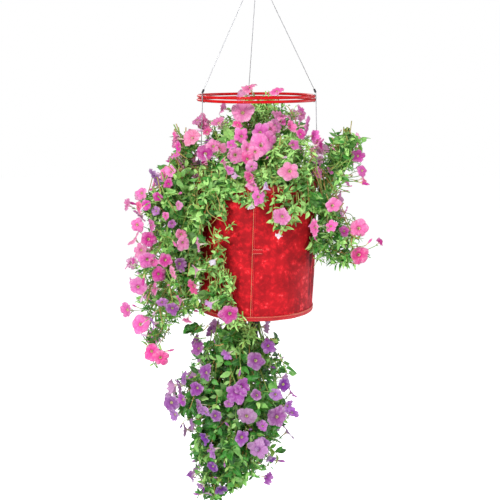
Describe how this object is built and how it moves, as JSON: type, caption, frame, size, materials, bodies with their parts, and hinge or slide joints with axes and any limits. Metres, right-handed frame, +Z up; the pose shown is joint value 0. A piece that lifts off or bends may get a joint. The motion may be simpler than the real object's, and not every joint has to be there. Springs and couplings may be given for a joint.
{
  "type": "hanging fabric planter with trailing flowers",
  "caption": "Hanging red fabric planter on steel cables with two spreader rings, petunias spilling over the rim and an upside-down petunia growing from its base.",
  "frame": {"origin": "centre of the bearing flat inside the crown of the hanging hook", "axes": "+Z up along the hanging axis; the front, with the wall's seam, faces -Y; +X to the right of a viewer in front"},
  "size_m": [0.595, 0.455, 1.3238],
  "materials": {
    "wire_steel": "satin",
    "crimp_dark": "satin",
    "ring_red": "gloss",
    "bag_red": "satin",
    "trim_red": "satin",
    "eyelet_brass": "satin",
    "foam_black": "matte",
    "soil": "matte",
    "roots": "matte",
    "foliage": "matte",
    "stems": "satin"
  },
  "bodies": {
    "hook": {"hanging_hook": "wire_steel", "swivel_barrel": "wire_steel"},
    "swivel": {"swivel_eye": "wire_steel"},
    "gather_ring": {"gather_ring": "wire_steel"},
    "planter": {"rim_wire": "wire_steel", "cable_left": "wire_steel", "cable_right": "wire_steel", "cable_back": "wire_steel", "top_crimp_left": "crimp_dark", "top_crimp_right": "crimp_dark", "top_crimp_back": "crimp_dark", "ring_crimp_left": "crimp_dark", "ring_crimp_right": "crimp_dark", "ring_crimp_back": "crimp_dark", "rim_crimp_left": "crimp_dark", "rim_crimp_right": "crimp_dark", "rim_crimp_back": "crimp_dark", "spreader_ring_upper": "ring_red", "spreader_ring_lower": "ring_red", "bag_wall": "bag_red", "bag_base": "bag_red", "rim_binding": "trim_red", "seam_strip": "trim_red", "seam_patch": "trim_red", "base_piping": "trim_red", "opening_trim": "trim_red", "hanger_tab_left": "trim_red", "hanger_tab_right": "trim_red", "hanger_tab_back": "trim_red", "eyelet_left": "eyelet_brass", "eyelet_right": "eyelet_brass", "eyelet_back": "eyelet_brass", "foam_collar": "foam_black", "potting_soil": "soil", "lower_root_ball": "roots", "crown_foliage": "foliage"},
    "left_trail": {"left_trail_foliage": "foliage"},
    "right_trail": {"right_trail_foliage": "foliage"},
    "back_trail": {"back_trail_foliage": "foliage"},
    "lower_plant": {"lower_stems": "stems", "lower_foliage": "foliage"}
  },
  "joints": [
    {"name": "swivel_spin", "type": "hinge", "parent": "hook", "child": "swivel", "pos_m": [0, 0, -0.064], "axis": [0, 0, 1], "continuous": true},
    {"name": "link_swing", "type": "hinge", "parent": "swivel", "child": "gather_ring", "pos_m": [0, 0, -0.0865], "axis": [1, 0, 0], "range_deg": [-20, 20]},
    {"name": "side_swing", "type": "hinge", "parent": "gather_ring", "child": "planter", "pos_m": [0, 0, -0.1072], "axis": [0, 1, 0], "range_deg": [-20, 20]},
    {"name": "left_trail_sway", "type": "hinge", "parent": "planter", "child": "left_trail", "pos_m": [-0.1372, 0, -0.56], "axis": [0, 1, 0], "range_deg": [0, 8], "stiffness_Nm_per_rad": 2},
    {"name": "right_trail_sway", "type": "hinge", "parent": "planter", "child": "right_trail", "pos_m": [0.1372, 0, -0.56], "axis": [0, -1, 0], "range_deg": [0, 8], "stiffness_Nm_per_rad": 2},
    {"name": "back_trail_sway", "type": "hinge", "parent": "planter", "child": "back_trail", "pos_m": [0, 0.1372, -0.56], "axis": [1, 0, 0], "range_deg": [0, 8], "stiffness_Nm_per_rad": 2},
    {"name": "lower_plant_sway", "type": "hinge", "parent": "planter", "child": "lower_plant", "pos_m": [0, 0, -0.853], "axis": [0, 1, 0], "range_deg": [-6, 6], "stiffness_Nm_per_rad": 1}
  ]
}
